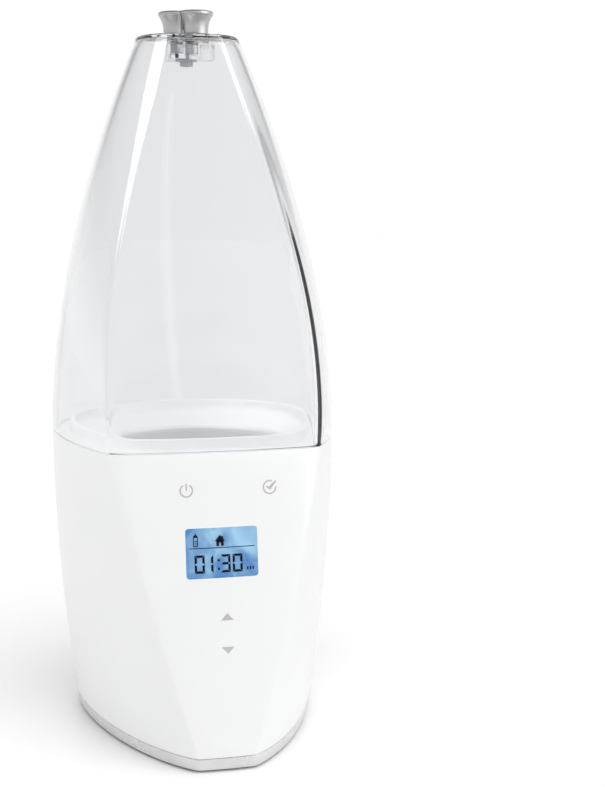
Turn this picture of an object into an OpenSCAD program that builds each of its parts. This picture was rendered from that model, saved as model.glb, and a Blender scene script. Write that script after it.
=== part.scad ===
// Upright baby-bottle warmer: a white base with a slanted control face,
// a heated water chamber, and a clear lift-off dome with a vent knob.
// Millimetres. The origin is at the middle of the footprint, on the table.
// -Y is the front, +Z is up.

/* [Outline] */
// Height of the seam between base and dome
seam_z = 125; // [110:1:150]
// Height of the flat top of the dome
dome_top_z = 292.5; // [260:0.5:351]
// Half-width of the plan at the seam
half_width = 60.3; // [56:0.1:72.5]
// Half-width of the plan at the foot
foot_half_width = 51.7; // [48:0.1:58]
// Half-width of the plan at the dome's top
top_half_width = 21.5; // [19:0.1:26]
// Depth from the widest line to the back, at the seam
back_depth = 51.9; // [48:0.1:62.5]
// Depth from the widest line to the back, at the foot
foot_back_depth = 42.4; // [40:0.1:51]
// Depth from the widest line to the back, at the dome's top
top_back_depth = 18.5; // [16:0.1:22.5]
// Depth from the widest line to the front corners, at the seam
front_depth = 70.7; // [68:0.1:85]
// Depth from the widest line to the front corners, at the foot
foot_front_depth = 90; // [86:0.1:108]
// Depth from the widest line to the front corners, at the dome's top
top_front_depth = 19.5; // [17:0.1:24]

/* [Walls] */
// Wall of the white housing
housing_wall = 2.4; // [2:0.1:2.9]
// Wall of the clear dome
dome_wall = 2.8; // [2.3:0.1:3.4]
// Flat roof of the dome
dome_roof = 3; // [2.5:0.1:3.6]
// Gap between the dome's foot and the base
dome_gap = 0.2; // [0.1:0.05:0.4]

/* [Foot] */
// Height of the table side of the bottom cover
foot_lift = 1; // [0.8:0.1:1.5]
// Top of the silver base ring
ring_top = 6; // [5:0.1:7.2]
// Thickness of the bottom cover
cover_thick = 2.5; // [2.1:0.1:3]
// Radius of a rubber foot
foot_r = 6; // [5:0.1:7.2]
// Diameter of the cover screws
cover_screw_d = 3; // [2.5:0.1:3.2]

/* [Chamber] */
// Inner radius of the water chamber
chamber_r = 39; // [32:0.1:40]
// Wall of the water chamber
chamber_wall = 1.6; // [1.3:0.1:2]
// Height of the heating plate's top
chamber_floor = 36; // [33:0.5:43]
// Distance of the chamber's axis in front of the widest line
chamber_forward = 12.5; // [11:0.1:14]
// Gap between the heating plate and the chamber's wall
plate_gap = 4; // [3.4:0.1:4.8]
// Thickness of the heating plate
plate_thick = 3; // [2.5:0.1:3.6]
// Height of the collar that stands inside the dome
collar_height = 4.5; // [3.5:0.1:5.5]

/* [Display] */
// Width of the display window
window_w = 28.4; // [24:0.1:34]
// Height of the display window
window_h = 19.6; // [17:0.1:22]
// Height of the window's centre
window_z = 86.5; // [82:0.5:92]
// Corner radius of the window
window_r = 1.2; // [0.8:0.1:2]
// Height of the two upper touch keys
upper_key_z = 111; // [108:0.5:114]
// Place of the left upper touch key across the face
left_key_x = -13.3; // [-18:0.1:-10]
// Place of the right upper touch key across the face
right_key_x = 20; // [12:0.1:22]
// Place of the two arrow keys across the face
arrow_key_x = 1.3; // [-3:0.1:4]
// Height of the upper arrow key
up_key_z = 61.4; // [59:0.1:64]
// Height of the lower arrow key
down_key_z = 48.2; // [45:0.1:51]

/* [Knob] */
// Half-length of the knob at its top rim
knob_r = 12.2; // [10.5:0.1:14.6]
// Half-length of the knob at its waist
knob_foot_r = 10; // [8.4:0.1:10.4]
// Height of the knob
knob_height = 10; // [8:0.1:12]
// Radius of the knob's stem
stem_r = 3; // [2.6:0.1:3.6]
// Radial running clearance of the stem in the dome's roof
stem_clearance = 0.06; // [0.03:0.01:0.1]
// Radius of the three vent holes
vent_r = 2.2; // [1.6:0.1:2.6]
// Radius of the circle that the vent holes stand on
vent_circle_r = 8.8; // [8.6:0.1:9.8]

/* [Sockets] */
// Width of the rear socket plate's opening
socket_w = 43; // [38:0.5:46]
// Height of the rear socket plate's opening
socket_h = 15; // [13:0.5:16]
// Height of the sockets' centre
socket_z = 18; // [17:0.5:20]

/* [Hidden] */
$fn = 64;
eps = 0.01;

// ---- shape of the plan -------------------------------------------------
// Each level's plan is a superellipse, centred on the widest line, whose front
// is cut by a slightly bulging facet between two corners.
foot_power = 1.59;          // superellipse power of the front half, at the foot
seam_power = 1.87;          // and at the seam
top_power = 2.3;            // and at the dome's top
back_power = 2.1;           // superellipse power of the back half
foot_front_reach = 1.067;   // uncut front semi-axis over the depth to the corners, at the foot
seam_front_reach = 1.457;   // and at the seam
foot_bulge = 0.5;           // bulge of the front facet, at the foot
seam_bulge = 3.3;           // and at the seam
top_bulge = 0.5;            // and at the dome's top
top_corner_ratio = 0.55;    // corner place over half-width, at the dome's top
corner_swell = 0.48;        // widening of the facet between seam and top
side_steps = 7;             // points from the widest line to a corner
face_steps = 8;             // points across the facet
back_steps = 20;            // points round the back
// the footprint is centred on the origin: the plan's own centre moves back
plan_y = (foot_front_depth + foot_bulge - back_depth) / 2;
chamber_y = plan_y - chamber_forward;

function mix(a, b, t) = a + (b - a) * t;
function below(z) = max(0, (seam_z - z) / (seam_z - ring_top));
function above(z) = max(0, (z - seam_z) / (dome_top_z - seam_z));
function plan_w(z) = z < seam_z ? mix(half_width, foot_half_width, pow(below(z), 2.1))
                                : mix(half_width, top_half_width, pow(above(z), 1.8));
function plan_back(z) = z < seam_z ? mix(back_depth, foot_back_depth, pow(below(z), 2.1))
                                   : mix(back_depth, top_back_depth, pow(above(z), 1.8));
function plan_front(z) = z < seam_z ? mix(front_depth, foot_front_depth, pow(below(z), 0.82))
                                    : mix(front_depth, top_front_depth, pow(above(z), 1.25));
function plan_power(z) = z < seam_z ? mix(seam_power, foot_power, pow(below(z), 1.25))
                                    : mix(seam_power, top_power, above(z));
function plan_bulge(z) = z < seam_z ? mix(seam_bulge, foot_bulge, below(z))
                                    : mix(seam_bulge, top_bulge, above(z));
// where the corner stands, as a share of the half-width
function cut_ratio(depth, semi, n) = pow(1 - pow(depth / semi, n), 1 / n);
seam_corner_ratio = cut_ratio(1, seam_front_reach, seam_power);
function front_semi(z) = mix(front_depth * seam_front_reach, foot_front_depth * foot_front_reach, below(z));
function corner_ratio(z) =
    z < seam_z ? cut_ratio(plan_front(z), front_semi(z), plan_power(z))
               : mix(seam_corner_ratio, top_corner_ratio, above(z))
                 + corner_swell * above(z) * (1 - above(z));

// front half of the plan, from the widest line (u = 0) to the corner (u = 1)
function side_point(w, depth, n, ratio, u) =
    let (c = pow(1 - pow(ratio, n), 1 / n), semi = depth / c, last = asin(pow(c, n / 2)), t = last * u)
    [w * pow(cos(t), 2 / n), -semi * pow(sin(t), 2 / n)];
function back_point(w, depth, t) =
    [w * sign(cos(t)) * pow(abs(cos(t)), 2 / back_power), depth * pow(abs(sin(t)), 2 / back_power)];

// one closed ring of points at height z, inset from the outer surface;
// narrow below 1 pulls the corners in, so the wall is thicker there
function plan_ring(z, inset = 0, narrow = 1, at_z = undef) =
    let (w = plan_w(z) - inset, back = plan_back(z) - inset, depth = plan_front(z) - inset,
         n = plan_power(z), ratio = corner_ratio(z) * narrow, bulge = plan_bulge(z),
         xc = w * ratio, h = is_undef(at_z) ? z : at_z)
    concat(
        [for (i = [0 : back_steps - 1]) let (p = back_point(w, back, 180 * i / back_steps))
            [p[0], p[1] + plan_y, h]],
        [for (i = [0 : side_steps - 1]) let (p = side_point(w, depth, n, ratio, i / side_steps))
            [-p[0], p[1] + plan_y, h]],
        [for (i = [0 : face_steps - 1]) let (x = mix(-xc, xc, i / face_steps))
            [x, -depth - bulge * (1 - pow(x / xc, 2)) + plan_y, h]],
        [for (i = [0 : side_steps - 1]) let (p = side_point(w, depth, n, ratio, 1 - i / side_steps))
            [p[0], p[1] + plan_y, h]]);
ring_count = back_steps + 2 * side_steps + face_steps;
// the same ring drawn in to a circle round the chamber's axis
function chamber_ring(source, r, z) =
    [for (p = source) let (d = [p[0], p[1] - chamber_y], k = r / norm(d)) [d[0] * k, d[1] * k + chamber_y, z]];
// place of the outer face of the front facet
function face_y(x, z) =
    let (xc = plan_w(z) * corner_ratio(z)) plan_y - plan_front(z) - plan_bulge(z) * (1 - pow(x / xc, 2));
// how far the facet leans back at height z, in degrees
function face_lean(z) = atan((face_y(0, z + 1) - face_y(0, z - 1)) / 2);
function steps(a, b, count) = [for (i = [0 : count]) mix(a, b, i / count)];
function reversed(list) = [for (i = [len(list) - 1 : -1 : 0]) list[i]];

function side_faces(rings, count) =
    [for (k = [0 : rings - 2], i = [0 : count - 1])
        let (a = k * count + i, b = k * count + (i + 1) % count) [a, b, b + count, a + count]];
// solid between a stack of rings, closed at both ends
module stack(rings) {
    count = len(rings[0]);
    last = (len(rings) - 1) * count;
    polyhedron(
        points = [for (r = rings) for (p = r) p],
        faces = concat(
            [for (f = side_faces(len(rings), count)) [f[3], f[2], f[1], f[0]]],
            [[for (i = [0 : count - 1]) i]],
            [[for (i = [count - 1 : -1 : 0]) last + i]]),
        convexity = 6);
}
// solid whose section is a closed loop of rings, such as a tube's wall
module loop(rings) {
    count = len(rings[0]);
    closed = concat(rings, [rings[0]]);
    total = len(rings) * count;
    polyhedron(
        points = [for (r = rings) for (p = r) p],
        faces = [for (f = side_faces(len(closed), count)) [f[3] % total, f[2] % total, f[1], f[0]]],
        convexity = 6);
}
// everything inside the body's skin between two heights
module inside(inset, z0, z1, count = 6) {
    stack([for (z = steps(z0, z1, count)) plan_ring(z, inset)]);
}
module tube(r_out, r_in, h) {
    difference() {
        cylinder(r = r_out, h = h);
        translate([0, 0, -1]) cylinder(r = r_in, h = h + 2);
    }
}
module rounded_block(w, h, depth, r) {
    // a plate in the XZ plane, from y = 0 towards +y
    translate([0, depth, 0]) rotate([90, 0, 0]) linear_extrude(depth) rounded_rect(w, h, r);
}
module rounded_rect(w, h, r) {
    union() {
        square([w - 2 * r, h], center = true);
        square([w, h - 2 * r], center = true);
        for (sx = [-1, 1], sy = [-1, 1])
            translate([sx * (w / 2 - r), sy * (h / 2 - r)]) circle(r = r, $fn = 32);
    }
}
// puts its children on the front face: local -Y points outwards, +Z runs up the face
module on_face(x, z) {
    translate([x, face_y(x, z), z]) rotate([-face_lean(z), 0, 0]) children();
}

// ---- dome --------------------------------------------------------------
roof_under_z = dome_top_z - dome_roof;
dome_edge = 1.6;              // height of the rounded rim round the roof
dome_edge_in = 2.6;           // how far that rim rounds inwards
inner_narrow = 0.95;          // draws the inner corners in a little: thicker corners
knob_y = plan_y + 2;
post_r = 3.2;                 // posts of the shutter that close the vents
post_play = 0.4;              // gap between a post and the boss beside it
boss_r = vent_circle_r - post_r - post_play;
boss_h = 5;                   // how far the stem's boss hangs under the roof
stem_bore_r = stem_r + stem_clearance;
post_swing = asin(post_r / vent_circle_r);
vent_turn = 60;               // turn of the knob from closed to open
// a stop peg stands midway between where a post rests and where the next one ends
stop_angle = -(120 - vent_turn) / 2;
stop_play = 0.8;              // degrees left between a post and the peg at each limit
stop_half = (120 - vent_turn) / 2 - post_swing - stop_play;
stop_r = vent_circle_r * sin(max(stop_half, 3));
stop_h = 3;

module dome_shell() {
    outer_z = concat(
        steps(seam_z + dome_gap, seam_z + 8, 2),
        steps(mix(seam_z, dome_top_z, 0.12), dome_top_z - dome_edge - 0.1, 14));
    outer = concat(
        [for (z = outer_z) plan_ring(z)],
        [for (a = steps(20, 90, 4))
            plan_ring(dome_top_z - dome_edge, dome_edge_in * (1 - cos(a)), 1,
                      dome_top_z - dome_edge * (1 - sin(a)))]);
    inner = concat(
        [plan_ring(seam_z, dome_wall, inner_narrow, seam_z - 1)],
        [for (z = steps(seam_z + dome_gap, roof_under_z, 12)) plan_ring(z, dome_wall, inner_narrow)]);
    color([0.93, 0.95, 0.96, 0.35])
    difference() {
        union() {
            difference() {
                stack(outer);
                stack(inner);
            }
            translate([0, knob_y, roof_under_z - boss_h]) cylinder(r = boss_r, h = boss_h + 1);
            rotate_about_knob(stop_angle)
                translate([vent_circle_r, 0, roof_under_z - stop_h])
                    cylinder(r = stop_r, h = stop_h + 1, $fn = 32);
        }
        translate([0, knob_y, roof_under_z - boss_h - 1])
            cylinder(r = stem_bore_r, h = boss_h + dome_roof + 2);
        for (k = [0 : 2])
            rotate_about_knob(120 * k)
                translate([vent_circle_r, 0, roof_under_z - 1])
                    cylinder(r = vent_r, h = dome_roof + 2, $fn = 32);
    }
}
module rotate_about_knob(angle) {
    translate([0, knob_y, 0]) rotate([0, 0, angle]) children();
}

// ---- knob and vent shutter ---------------------------------------------
knob_play = 0.3;              // gap between the knob and the roof
hub_play = 0.4;               // gap between the shutter's hub and the boss
knob_z = dome_top_z + knob_play;
stem_end_z = roof_under_z - boss_h - hub_play;
hub_r = 7;
hub_h = 2.2;
hub_z = stem_end_z - hub_h;
washer_h = 0.5;
washer_r = 4.5;
screw_r = 1.25;
screw_play = 0.3;
screw_bite = 7;               // how far the screw goes up into the stem
head_r = 2.8;
head_h = 2;
knob_axis = -34;              // direction of the line through the knob's two lobes
lobe_offset = 4.8;            // each lobe's axis from the knob's axis
// half-section of a lobe: a concave flare from a narrow waist to a rounded rim
function lobe_profile() =
    let (top_r = knob_r - lobe_offset, waist_r = knob_foot_r - lobe_offset, lip = 0.8)
    concat(
        [[0, 0], [waist_r + 0.3, 0]],
        [for (t = steps(0.05, 1, 8)) [mix(waist_r, top_r, pow(t, 2.6)), mix(0.4, knob_height - 2 * lip, t)]],
        [for (a = steps(20, 90, 3)) [top_r - lip + lip * cos(a), knob_height - lip + lip * sin(a)]],
        [[0, knob_height]]);
module knob() {
    color([0.78, 0.79, 0.8])
    translate([0, knob_y, 0])
    difference() {
        union() {
            for (side = [0, 180])
                rotate([0, 0, knob_axis + side]) translate([lobe_offset, 0, knob_z])
                    rotate_extrude($fn = 72) polygon(lobe_profile());
            translate([0, 0, stem_end_z]) cylinder(r = stem_r, h = knob_z - stem_end_z + knob_height / 3);
        }
        translate([0, 0, stem_end_z - 1]) cylinder(r = screw_r, h = screw_bite + 2, $fn = 32);
    }
}
module vent_shutter() {
    color([0.86, 0.88, 0.89])
    translate([0, knob_y, 0])
    difference() {
        union() {
            translate([0, 0, hub_z]) cylinder(r = hub_r, h = hub_h);
            for (k = [0 : 2]) rotate([0, 0, 120 * k]) {
                translate([vent_circle_r, 0, hub_z]) cylinder(r = post_r, h = hub_h, $fn = 48);
                translate([vent_circle_r, 0, hub_z + hub_h - eps])
                    cylinder(r = post_r - 0.2, h = roof_under_z - knob_play - hub_z - hub_h + eps, $fn = 48);
            }
        }
        translate([0, 0, hub_z - 1]) cylinder(r = screw_r + screw_play, h = hub_h + 2, $fn = 32);
    }
}
module wave_washer() {
    color([0.7, 0.71, 0.72])
    translate([0, knob_y, hub_z - washer_h]) tube(washer_r, screw_r + screw_play, washer_h);
}
module knob_screw() {
    head_z = hub_z - washer_h;
    slot_w = 0.7;
    color([0.62, 0.63, 0.65])
    translate([0, knob_y, 0])
    difference() {
        union() {
            translate([0, 0, head_z - head_h]) cylinder(r = head_r, h = head_h, $fn = 48);
            translate([0, 0, head_z - eps])
                cylinder(r = screw_r, h = washer_h + hub_h + screw_bite, $fn = 32);
        }
        for (a = [0, 90]) rotate([0, 0, a])
            translate([-head_r * 0.6, -slot_w / 2, head_z - head_h - 1]) cube([head_r * 1.2, slot_w, 2.1]);
    }
}

// ---- housing -----------------------------------------------------------
ring_wall = 2.6;              // wall of the base ring
cover_play = 0.2;             // gap between the bottom cover and the base ring
head_play = 0.3;              // gap round a screw head in its recess
post_wall = 2.4;
post_outer_r = cover_screw_d / 2 + post_wall;
cover_head_r = cover_screw_d - 0.4;
recess_wall = 0.4;            // least of the cover's edge left beside a screw's recess
// the posts grow out of the wall, just clear of the base ring inside it
post_inset = ring_wall + cover_play + cover_head_r + head_play + recess_wall;
post_top = 26;
// a place inside the foot's outline: i picks the outline point, d the distance inwards
foot_outline = plan_ring(ring_top);
function place_inside(i, d) =
    let (a = foot_outline[(i + ring_count - 1) % ring_count], b = foot_outline[(i + 1) % ring_count],
         along = (b - a) / norm(b - a))
    [foot_outline[i][0] - along[1] * d, foot_outline[i][1] + along[0] * d];
function both_sides(p) = [p, [-p[0], p[1]]];
rear_post_point = 2;
front_post_point = ring_count - 4;
post_places = concat(
    both_sides(place_inside(rear_post_point, post_inset)),
    both_sides(place_inside(front_post_point, post_inset)));
cover_top = foot_lift + cover_thick;
window_gap = 0.1;
module housing_shell() {
    levels = steps(ring_top, seam_z, 14);
    color([0.95, 0.95, 0.95])
    difference() {
        union() {
            loop(concat([for (z = levels) plan_ring(z)],
                        [for (z = reversed(levels)) plan_ring(z, housing_wall)]));
            intersection() {
                for (p = post_places)
                    translate([p[0], p[1], cover_top])
                        cylinder(r = post_outer_r, h = post_top - cover_top, $fn = 48);
                inside(housing_wall / 2, ring_top, post_top + 4, 2);
            }
        }
        on_face(0, window_z)
            translate([0, -4, 0])
                rounded_block(window_w + 2 * window_gap, window_h + 2 * window_gap, 9, window_r);
        translate([0, plan_y + plan_back(socket_z) - 12, socket_z])
            rounded_block(socket_w, socket_h, 20, 2.5);
        for (p = post_places)
            translate([p[0], p[1], cover_top - 1]) cylinder(r = cover_screw_d / 2 - 0.25, h = 14, $fn = 32);
    }
}
deck_gap = 0.2;
deck_inset = housing_wall + deck_gap;
deck_drop = 2.2;
chamber_top_z = seam_z - 8;
flange_w = 4;
module deck_collar() {
    foot_in = plan_ring(seam_z, 11, 0.9);
    mouth_r = chamber_r + 0.2;
    color([0.93, 0.93, 0.93])
    loop([
        plan_ring(seam_z, deck_inset, 1, seam_z - deck_drop),
        plan_ring(seam_z, deck_inset, 1, seam_z),
        plan_ring(seam_z, 8, 0.94, seam_z),
        plan_ring(seam_z, 8.3, 0.93, seam_z + collar_height - 0.5),
        plan_ring(seam_z, 8.8, 0.92, seam_z + collar_height),
        plan_ring(seam_z, 9.9, 0.91, seam_z + collar_height),
        plan_ring(seam_z, 10.4, 0.9, seam_z + collar_height - 0.5),
        plan_ring(seam_z, 11, 0.9, seam_z),
        chamber_ring(foot_in, mouth_r + 4, seam_z - 3.2),
        chamber_ring(foot_in, mouth_r + 0.8, seam_z - 5),
        chamber_ring(foot_in, mouth_r, seam_z - 6.4),
        chamber_ring(foot_in, mouth_r, chamber_top_z + eps),
        chamber_ring(foot_in, mouth_r + 2.5, chamber_top_z + eps),
        chamber_ring(foot_in, mouth_r + 4.5, seam_z - 5.8),
        plan_ring(seam_z, 12, 0.88, seam_z - deck_drop)
    ]);
}
module base_ring() {
    color([0.72, 0.73, 0.74])
    loop([
        plan_ring(ring_top, 0.8, 1, foot_lift),
        plan_ring(ring_top, 0.45, 1, foot_lift + 0.5),
        plan_ring(ring_top, 0.1, 1, ring_top - 0.4),
        plan_ring(ring_top, 0.35, 1, ring_top),
        plan_ring(ring_top, ring_wall, 1, ring_top),
        plan_ring(ring_top, ring_wall, 1, foot_lift)
    ]);
}
foot_inset = ring_wall + foot_r + 3;
rear_foot_point = 5;
front_foot_point = ring_count - 6;
foot_places = concat(
    both_sides(place_inside(rear_foot_point, foot_inset)),
    both_sides(place_inside(front_foot_point, foot_inset)));
foot_recess = 1;
module bottom_cover() {
    color([0.85, 0.86, 0.87])
    difference() {
        union() {
            stack([
                plan_ring(ring_top, ring_wall + cover_play, 1, foot_lift),
                plan_ring(ring_top, ring_wall + cover_play, 1, cover_top)]);
            for (p = board_places)
                translate([p[0], p[1], cover_top - eps])
                    cylinder(r = 3, h = board_z - cover_top + eps, $fn = 48);
        }
        for (p = foot_places)
            translate([p[0], p[1], foot_lift - 1]) cylinder(r = foot_r + 0.1, h = 1 + foot_recess, $fn = 48);
        for (p = post_places) {
            translate([p[0], p[1], foot_lift - 1])
                cylinder(r = cover_screw_d / 2 + 0.2, h = cover_thick + 2, $fn = 32);
            translate([p[0], p[1], foot_lift - 1]) cylinder(r = cover_head_r + head_play, h = 2.3, $fn = 32);
        }
        for (p = board_places)
            translate([p[0], p[1], foot_lift + 1]) cylinder(r = 1, h = board_z, $fn = 24);
        for (i = [-3 : 3])
            translate([i * 6 - 1, chamber_y - 10, foot_lift - 1]) cube([2, 22, cover_thick + 2]);
    }
}
module rubber_feet() {
    color([0.25, 0.25, 0.26])
    for (p = foot_places)
        translate([p[0], p[1], 0]) rotate_extrude($fn = 48) polygon([
            [0, 0], [foot_r - 1, 0], [foot_r - 0.4, 0.4], [foot_r, foot_lift], [foot_r, foot_lift + foot_recess],
            [0, foot_lift + foot_recess]]);
}
module screw(length, shaft_r, head_r, head_h) {
    // head at the bottom, shaft upwards, cross slot in the head
    difference() {
        union() {
            cylinder(r = head_r, h = head_h, $fn = 32);
            translate([0, 0, head_h - eps]) cylinder(r = shaft_r, h = length, $fn = 24);
        }
        for (a = [0, 90]) rotate([0, 0, a])
            translate([-head_r * 0.6, -0.3, -1]) cube([head_r * 1.2, 0.6, 1 + head_h * 0.5]);
    }
}
module cover_screws() {
    color([0.6, 0.61, 0.63])
    for (p = post_places)
        translate([p[0], p[1], foot_lift + 0.1]) screw(11, cover_screw_d / 2 - 0.27, cover_head_r, 1.1);
}

// ---- water chamber and heater -------------------------------------------
plate_r = chamber_r - plate_gap;
plate_under = chamber_floor - plate_thick;
seal_thick = 1;
liner_floor = 2;
liner_floor_z = plate_under - seal_thick - liner_floor;
clamp_thick = 1.6;
clamp_places = [90, 210, 330];
clamp_circle_r = plate_r - 2.4;
liner_hole_r = plate_r - 5.5;
module at_chamber(z) {
    translate([0, chamber_y, z]) children();
}
module chamber_liner() {
    color([0.94, 0.94, 0.93])
    difference() {
        at_chamber(0) rotate_extrude($fn = 128) polygon([
            [liner_hole_r, liner_floor_z], [chamber_r + chamber_wall, liner_floor_z],
            [chamber_r + chamber_wall, chamber_top_z - 2], [chamber_r + flange_w, chamber_top_z - 1.6],
            [chamber_r + flange_w, chamber_top_z], [chamber_r, chamber_top_z],
            [chamber_r, liner_floor_z + liner_floor], [liner_hole_r, liner_floor_z + liner_floor]]);
        for (a = clamp_places) at_chamber(liner_floor_z - 1)
            rotate([0, 0, a]) translate([clamp_circle_r, 0, 0])
                cylinder(r = 1.5, h = liner_floor + 2, $fn = 32);
    }
}
module chamber_seal() {
    color([0.85, 0.45, 0.3])
    difference() {
        at_chamber(liner_floor_z + liner_floor) tube(plate_r + 1, liner_hole_r, seal_thick, $fn = 128);
        for (a = clamp_places) at_chamber(liner_floor_z)
            rotate([0, 0, a]) translate([clamp_circle_r, 0, 0]) cylinder(r = 1.5, h = 6, $fn = 32);
    }
}
module heating_plate() {
    color([0.76, 0.77, 0.78])
    difference() {
        at_chamber(0) rotate_extrude($fn = 128) polygon([
            [0, plate_under], [plate_r, plate_under], [plate_r, chamber_floor - 0.5],
            [plate_r - 0.5, chamber_floor], [plate_r - 4, chamber_floor], [plate_r - 5, chamber_floor - 0.8],
            [0, chamber_floor - 0.8]]);
        for (a = clamp_places) at_chamber(plate_under - 1)
            rotate([0, 0, a]) translate([clamp_circle_r, 0, 0]) cylinder(r = 1.2, h = 2.6, $fn = 32);
    }
}
element_r = plate_r / 2;       // the element runs half-way out
element_tube_r = 3;
stub_r = 1.1;
stub_length = 5;
// just under the stub of an element end, s is the side
function stub_tip(s) = [s * (element_r * cos(60) - (stub_length - 1) * sin(60)),
    chamber_y + element_r * sin(60) + (stub_length - 1) * cos(60), plate_under - element_tube_r - stub_r - 0.7];
module heating_element() {
    color([0.55, 0.56, 0.58])
    at_chamber(plate_under - element_tube_r) union() {
        rotate([0, 0, 120]) rotate_extrude(angle = 300, $fn = 96) translate([element_r, 0])
            circle(r = element_tube_r, $fn = 32);
        for (a = [120, 60])
            rotate([0, 0, a]) translate([element_r, 0, 0]) rotate([a == 120 ? 90 : -90, 0, 0])
                translate([0, 0, -1]) cylinder(r = stub_r, h = stub_length + 1, $fn = 24);
    }
}
module clamp_ring() {
    color([0.68, 0.69, 0.71])
    difference() {
        at_chamber(liner_floor_z - clamp_thick) tube(plate_r, liner_hole_r - 3, clamp_thick, $fn = 96);
        for (a = clamp_places) at_chamber(liner_floor_z - clamp_thick - 1)
            rotate([0, 0, a]) translate([clamp_circle_r, 0, 0])
                cylinder(r = 1.5, h = clamp_thick + 2, $fn = 32);
    }
}
module clamp_screws() {
    length = clamp_thick + liner_floor + seal_thick + 1.4;
    color([0.6, 0.61, 0.63])
    for (a = clamp_places)
        at_chamber(liner_floor_z - clamp_thick - 1.8)
            rotate([0, 0, a]) translate([clamp_circle_r, 0, 0]) screw(length, 1.2, 2.5, 1.8);
}
module sensor_bracket() {
    color([0.66, 0.67, 0.69])
    at_chamber(plate_under - 1) difference() {
        translate([-9, -4, 0]) cube([18, 8, 1]);
        for (x = [-5.5, 5.5]) translate([x, 0, -1]) cylinder(r = 2.1, h = 3, $fn = 32);
    }
}
module thermal_fuse() {
    color([0.8, 0.78, 0.7])
    at_chamber(0) translate([-5.5, 0, plate_under - 7]) union() {
        cylinder(r = 2, h = 7, $fn = 32);
        translate([0, 0, -3]) cylinder(r = 0.5, h = 3.1, $fn = 16);
    }
}
module temperature_sensor() {
    color([0.2, 0.2, 0.22])
    at_chamber(0) translate([5.5, 0, plate_under - 6]) union() {
        cylinder(r = 2, h = 6, $fn = 32);
        for (x = [-0.8, 0.8]) translate([x, 0, -4]) cylinder(r = 0.4, h = 4.1, $fn = 16);
    }
}

// ---- display behind the front face ---------------------------------------
lens_thick = 1.8;
lens_flange = 1.2;
lens_back = housing_wall + 0.9;
glass_y = lens_back + lens_flange + 0.1;
glass_thick = 2.2;
light_y = glass_y + glass_thick + 0.1;
light_thick = 3;
board_front = light_y + light_thick + 0.1;
frame_wall = 1.6;
glass_w = window_w + 2;
glass_h = window_h + 3;
frame_play = 0.2;
module lcd_window() {
    color([0.55, 0.72, 0.85, 0.6])
    on_face(0, window_z) union() {
        translate([0, 0.15, 0]) rounded_block(window_w, window_h, lens_back - 0.15 + eps, window_r);
        translate([0, lens_back, 0]) rounded_block(window_w + 4, window_h + 3, lens_flange, window_r);
    }
}
module lcd_frame() {
    w = glass_w + 2 * (frame_play + frame_wall);
    h = glass_h + 2 * (frame_play + frame_wall);
    color([0.9, 0.9, 0.9])
    on_face(0, window_z) difference() {
        translate([0, glass_y, 0]) rounded_block(w, h, board_front - glass_y, 2);
        translate([0, glass_y - 1, 0])
            rounded_block(glass_w + 2 * frame_play, glass_h + 2 * frame_play, board_front - glass_y + 2, 0.6);
    }
}
module lcd_glass() {
    color([0.35, 0.6, 0.85])
    on_face(0, window_z) translate([0, glass_y, 0]) rounded_block(glass_w, glass_h, glass_thick, 0.5);
}
module lcd_backlight() {
    color([0.75, 0.88, 1])
    on_face(0, window_z) translate([0, light_y, 0]) rounded_block(glass_w, glass_h, light_thick, 0.5);
}
board_thick = 1.6;
display_top = upper_key_z + 5;
display_bottom = down_key_z - 6;
screw_spots = [[-22, 10], [22, 10], [-13, -34], [13, -34]];
module display_board() {
    color([0.1, 0.38, 0.22])
    on_face(0, window_z) difference() {
        translate([0, board_front + board_thick, 0]) rotate([90, 0, 0]) linear_extrude(board_thick)
            polygon([
                [-25, display_top - window_z], [25, display_top - window_z],
                [25, 4], [17, display_bottom - window_z], [-17, display_bottom - window_z], [-25, 4]]);
        for (p = screw_spots)
            translate([p[0], board_front - 1, p[1]]) rotate([-90, 0, 0])
                cylinder(r = 1.1, h = board_thick + 2, $fn = 24);
    }
}
module display_screws() {
    color([0.6, 0.61, 0.63])
    on_face(0, window_z)
        for (p = screw_spots)
            translate([p[0], board_front + board_thick + 1.4, p[1]]) rotate([90, 0, 0]) screw(6, 1, 2, 1.3);
}
key_places = [
    [left_key_x, upper_key_z], [right_key_x, upper_key_z], [arrow_key_x, up_key_z], [arrow_key_x, down_key_z]];
module touch_springs() {
    color([0.75, 0.72, 0.6])
    for (p = key_places) {
        lift = (p[1] - window_z) / cos(face_lean(window_z));
        on_face(0, window_z) translate([p[0], board_front, lift]) rotate([90, 0, 0])
            rotate_extrude($fn = 40) translate([2.2, 0]) square([1.2, board_front - housing_wall - 3.4]);
    }
}
module buzzer() {
    color([0.12, 0.12, 0.13])
    on_face(0, window_z) translate([0, board_front + board_thick, -22]) rotate([-90, 0, 0]) difference() {
        cylinder(r = 6, h = 6, $fn = 48);
        translate([0, 0, 5]) cylinder(r = 1, h = 2, $fn = 24);
    }
}

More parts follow.
